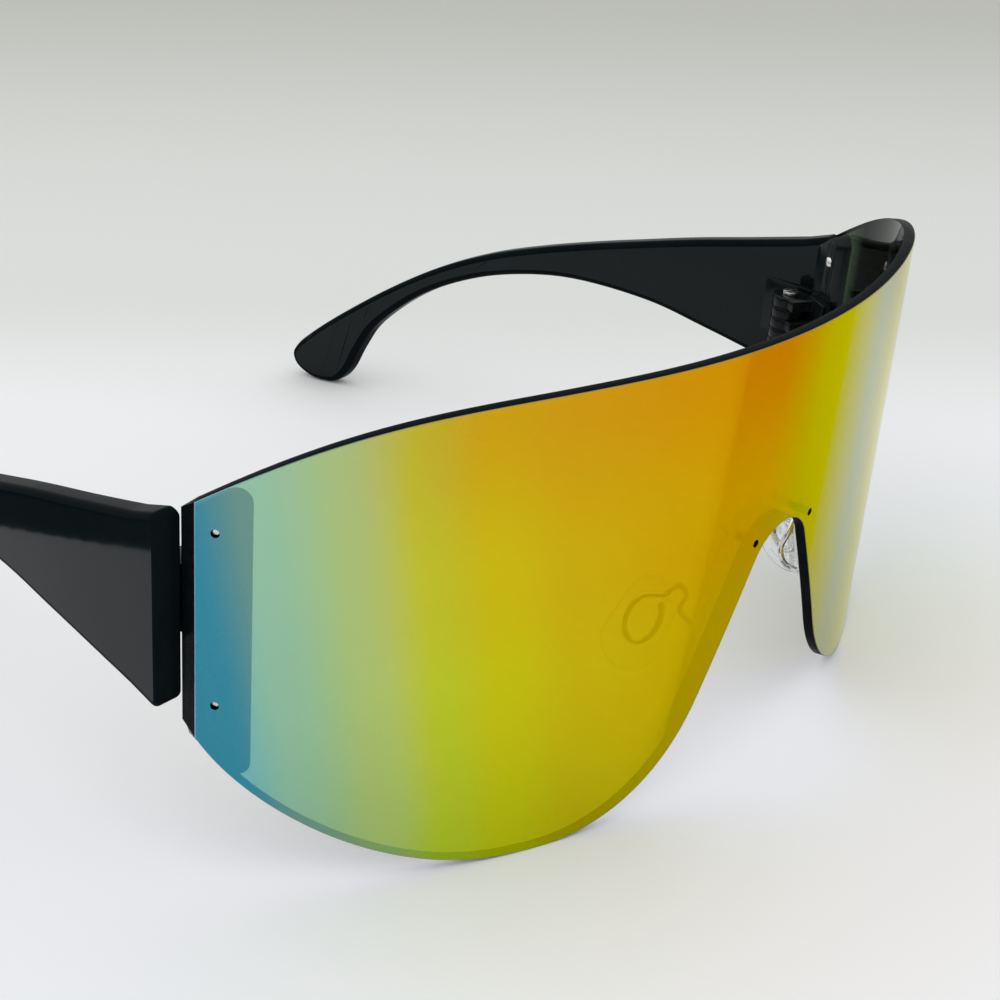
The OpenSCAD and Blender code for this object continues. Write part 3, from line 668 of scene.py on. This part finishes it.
def rivet(shank):
    bm = bmesh.new()
    profile = [(0, 0), (pin_r - end_break_w, 0), (pin_r, end_break_h), (pin_r, shank)]
    profile += [(head_r - head_break_w, shank), (head_r, shank + head_break_h)]
    profile += [(head_r * math.cos(a), shank + head_break_h + (head_h - head_break_h) * math.sin(a))
                for a in (quarter * i / dome_steps for i in range(1, dome_steps + 1))]
    verts = [bm.verts.new((r, 0, z)) for r, z in profile]
    edges = [bm.edges.new(pair) for pair in zip(verts, verts[1:])]
    bmesh.ops.spin(bm, geom=verts + edges, cent=(0, 0, 0), axis=(0, 0, 1), angle=2 * math.pi, steps=32,
                   use_merge=True)
    bmesh.ops.remove_doubles(bm, verts=bm.verts, dist=0.002)
    return bm


head_gap = 0.1
shanks = {"lens_pin_upper": lens_t + plate_t - pin_recess, "lens_pin_lower": lens_t + plate_t - pin_recess,
          "band_pin": lens_t + band_t + head_gap - pin_recess}
for side, flip in sides:
    for pin, place in pin_places.items():
        recessed = flip @ place @ Matrix.Translation((0, 0, pin_recess))
        finish_piece(rivet(shanks[pin]), f"rivet_{pin}_{side}", f"{pin}_{side}", [silver],
                     recessed)
print("rivets", 2 * len(pin_places))

# %% [markdown]
# ## End plates, hinges and band
# The plates and hinge leaves are stamped and milled metal, so the CAD shapes are right as they are. A
# copy of each is joined into one skin, its flat faces are cleaned, and every edge gets the small break
# that makes it catch light. An end plate's top is also brought square to the sheet, like the lens's
# edge. The copy then stands for the node.

# %% Metal parts from the frame
plate_top_inset, plate_below_edge, plate_top_z = 2.6, 0.95, -16.5
plate_break, leaf_break, screw_break, band_break = 0.15, 0.1, 0.06, 0.12
sharp_corner = math.radians(35)


def square_top(bm):
    """Brings an end plate's top to the lens's edge, square to the sheet."""
    for v in bm.verts:
        place = to_lens @ v.co
        angle = math.atan2(abs(place.x) - side_c[0], side_c[1] - place.y)
        lens_edge = top_z(side_c[0] + side_r * math.sin(angle))
        cad_edge = top_z(place.x) - plate_top_inset
        if place.z > plate_top_z:
            place.z += lens_edge - plate_below_edge - cad_edge
            v.co = stand @ place


def dressed(node, name, finish, edge_break):
    bm = bmesh.new()
    bm.from_mesh(frame["nodes"][node].data)
    bmesh.ops.remove_doubles(bm, verts=bm.verts, dist=2e-6)
    if "end_plate" in node:
        square_top(bm)
    bmesh.ops.dissolve_limit(bm, angle_limit=math.radians(0.3), verts=bm.verts, edges=bm.edges)
    for f in bm.faces:
        f.material_index = 0
    edges = [e for e in bm.edges if e.is_manifold and e.calc_face_angle() > sharp_corner]
    bmesh.ops.bevel(bm, geom=edges, offset=mm * edge_break, segments=2, profile=0.5, affect="EDGES",
                    material=-1, clamp_overlap=True)
    return wrap(bm, name, node, [finish], 35)


for side, _ in sides:
    dressed("end_plate_" + side, "end_plate_black_" + side, lacquer, plate_break)
    for leaf in ("front_leaf_", "rear_leaf_"):
        dressed("hinge_" + leaf + side, leaf + side, lacquer, leaf_break)
    dressed("hinge_screw_" + side, "slotted_screw_" + side, silver, screw_break)
dressed("nose_band", "arched_band", silver, band_break)
print("metal parts dressed")

# %% [markdown]
# ## The nosepiece's wires
# Each wire leaves the end of the band, runs down behind the lens, bends back, up and outward, and ends
# in a long loop inside its pad. The bends are shares of the arm's height, counted from the band's end
# outward, backward and upward. A curve with a round bevel makes the tube, and is then turned into a
# mesh.

# %% Wire route
wire_r, arm_h, arm_gap = 0.42, 11.7, 0.02
loop_l, loop_w, loop_start, loop_end = 6.8, 4.4, math.radians(18), math.radians(332)
pad_x, pad_y, pad_z = 17.1, 9.3, 39.5
pad_splay, pad_flare, pad_tilt = math.radians(12.5), math.radians(23), math.radians(15)
band_angle = math.radians(58)
arm_x, arm_z = band_mid_r * math.sin(band_angle), notch_z + band_mid_r * math.cos(band_angle)
band_exit = Vector((math.cos(band_angle), 0, -math.sin(band_angle)))
arm_start = Vector((arm_x, sheet_y(arm_x) + lens_t + band_t / 2, arm_z)) + arm_gap * band_exit
arm_shares = [(0.11, 0.025, -0.385), (0.248, 0.035, -0.692), (0.419, 0.043, -0.979), (0.385, 0.182, -0.983),
              (0.376, 0.285, -0.94), (0.419, 0.362, -0.863), (0.436, 0.379, -0.786), (0.427, 0.353, -0.692),
              (0.436, 0.319, -0.598), (0.496, 0.319, -0.496), (0.598, 0.344, -0.419), (0.675, 0.379, -0.453),
              (0.684, 0.438, -0.538)]
pad_frame = (Matrix.Translation((pad_x, pad_y, -pad_z)) @ Matrix.Rotation(-pad_splay, 4, "Z")
             @ Matrix.Rotation(-pad_flare, 4, "Y") @ Matrix.Rotation(pad_tilt, 4, "X"))
loop = arc(0, 0, loop_w / 2, loop_l / 2, quarter - loop_start, quarter - loop_end, 16)
route = [arm_start, arm_start + wire_r * band_exit]
route += [arm_start + arm_h * Vector(share) for share in arm_shares]
route += [pad_frame @ Vector((0, y, z)) for y, z in loop]
wire_line = smooth_line(route)
print("wire length", round(sum((b - a).length for a, b in zip(wire_line, wire_line[1:])), 1), "mm")

# %% Wires
def wire():
    curve = bpy.data.curves.new("wire_route", "CURVE")
    curve.dimensions, curve.bevel_depth, curve.bevel_resolution, curve.use_fill_caps = "3D", wire_r, 3, True
    spline = curve.splines.new("POLY")
    spline.points.add(len(wire_line) - 1)
    for point, place in zip(spline.points, wire_line):
        point.co = (*place, 1)
    holder = bpy.data.objects.new("wire_route", curve)
    bpy.context.scene.collection.objects.link(holder)
    mesh = bpy.data.meshes.new_from_object(holder.evaluated_get(bpy.context.evaluated_depsgraph_get()))
    bm = bmesh.new()
    bm.from_mesh(mesh)
    bpy.data.objects.remove(holder)
    bmesh.ops.remove_doubles(bm, verts=bm.verts, dist=0.001)
    return bm


for side, flip in sides:
    finish_piece(wire(), "wire_arm_" + side, "pad_arm_" + side, [silver], flip, smooth=50)
print("wires", wire_r * 2, "mm thick")

# %% [markdown]
# ## The pads
# A pad is clear silicone moulded round the wire's loop: wider below than above, with a rounded rim and a
# shallow valley inside the rim before the middle swells again. The outline is two arcs with a common
# tangent. Insets of both faces, each with its own rise, give the crowned form, and subdivision makes it
# soft.

# %% Pads
pad_l, pad_w, pad_top_w, pad_t, loop_rise = 13.6, 8.4, 7.0, 2.0, 0.7
pad_high, pad_low = (pad_l - pad_top_w) / 2 - loop_rise, -(pad_l - pad_w) / 2 - loop_rise
tangent = math.asin((pad_w - pad_top_w) / 2 / (pad_high - pad_low))
pad_outline = (arc(0, pad_high, pad_top_w / 2, pad_top_w / 2, tangent, math.pi - tangent, 14)
               + arc(0, pad_low, pad_w / 2, pad_w / 2, math.pi - tangent, 2 * math.pi + tangent, 18))
pad_steps = [(0.12, 0.34), (0.4, 0.3), (0.5, 0.04), (0.45, -0.16), (0.5, -0.08), (0.6, 0.1), (0.5, 0.08)]
rim_rise = sum(rise for _, rise in pad_steps[:3])
wall = pad_t / 2 - rim_rise


def pad():
    bm = bmesh.new()
    bm.faces.new([bm.verts.new((-wall, y, z)) for y, z in pad_outline])
    bmesh.ops.translate(bm, vec=(2 * wall, 0, 0), verts=list(second_skin(bm)))
    bmesh.ops.recalc_face_normals(bm, faces=bm.faces)
    for end in [f for f in bm.faces if abs(f.normal.x) > 0.9]:
        for width, rise in pad_steps:
            bmesh.ops.inset_region(bm, faces=[end], thickness=width, depth=rise, use_even_offset=True)
    return bm


for side, flip in sides:
    piece = finish_piece(pad(), "silicone_pad_" + side, "nose_pad_" + side, [silicone],
                         flip @ pad_frame, smooth=180)
    soften = piece.modifiers.new("soften", "SUBSURF")
    soften.levels = soften.render_levels = 2
print("pads", pad_l, "by", pad_w, "by", pad_t, "mm")

# %% [markdown]
# ## Studio
# A wide pale floor, an even pale sky, and one large soft lamp behind the glasses on the wearer's right,
# which draws their soft shadow forward. The floor's colour is painted light: lighter and bluer where it lies
# before the glasses, against their shadow and the yellow light the lens throws on it, and darker and warmer
# far behind them, a painted falloff of light.

# %% Floor
def flat_sheet(name, size, place=Matrix.Identity(4)):
    bm = bmesh.new()
    bmesh.ops.create_grid(bm, x_segments=1, y_segments=1, size=size, matrix=place)
    mesh = bpy.data.meshes.new(name)
    bm.to_mesh(mesh)
    bm.free()
    sheet = bpy.data.objects.new(name, mesh)
    bpy.context.scene.collection.objects.link(sheet)
    return sheet


floor = flat_sheet("floor", 3)
floor_finish, nodes, links, shader = new_finish("pale_floor", roughness=0.7)
shader.inputs["Specular IOR Level"].default_value = 0.1
away = nodes.new("ShaderNodeVectorMath")
away.operation = "DOT_PRODUCT"
away.inputs[1].default_value = (0.77, 0.64, 0)
links.new(add_place(nodes), away.inputs[0])
# painted light: the floor is lighter and bluer before the glasses, against their shadow and the lens's
# yellow bounce, and darker and warmer far behind, a painted falloff
floor_painted_light_stops = [(0.0, (0.94, 0.93, 0.97)), (0.3, (0.88, 0.875, 0.89)), (0.42, (0.73, 0.73, 0.71)),
               (1.0, (0.51, 0.51, 0.47))]
distance = add_range(nodes, links, away.outputs["Value"], -0.15, 0.56, 0, 1)
links.new(add_ramp(nodes, links, distance, floor_painted_light_stops), shader.inputs["Base Color"])
floor.data.materials.append(floor_finish)
print("floor tones", len(floor_painted_light_stops))

# %% Light
world = bpy.data.worlds.new("studio")
bpy.context.scene.world = world
world.use_nodes = True
world.node_tree.nodes["Background"].inputs["Color"].default_value = (0.98, 1, 1, 1)
world.node_tree.nodes["Background"].inputs["Strength"].default_value = 0.93


def soft_lamp(name, place, size, power):
    lamp = bpy.data.objects.new(name, bpy.data.lights.new(name, "AREA"))
    bpy.context.scene.collection.objects.link(lamp)
    lamp.data.shape, lamp.data.size, lamp.data.energy = "DISK", size, power
    lamp.matrix_world = along(Vector(place), Vector(place))
    return lamp


soft_lamp("key", (-0.3, 0.35, 1.0), 1.1, 1.0)
bpy.context.scene.view_settings.view_transform = "Standard"
print("light ready")

# %% [markdown]
# Polished black shows what stands around it. A photographer lays a dark card beside the glasses, out of
# view, so that the outer face of the temple mirrors it above and the pale floor below. The card is seen
# only in reflections, so it takes no light from the floor.

# %% Dark card
card_place = Matrix.Translation((-0.537, 0.322, 0.002)) @ Matrix.Rotation(math.radians(-36), 4, "Z")
card = flat_sheet("dark_card", 0.5, card_place)
card.visible_camera = card.visible_diffuse = card.visible_shadow = card.visible_transmission = False
card_finish, nodes, links, shader = new_finish("card_black", roughness=0.9)
card_grain = add_noise(nodes, links, add_place(nodes), 30)
card_tones = [(0.3, grey(0.01)), (0.7, grey(0.014))]
links.new(add_ramp(nodes, links, card_grain, card_tones), shader.inputs["Base Color"])
card.data.materials.append(card_finish)
print("card ready")
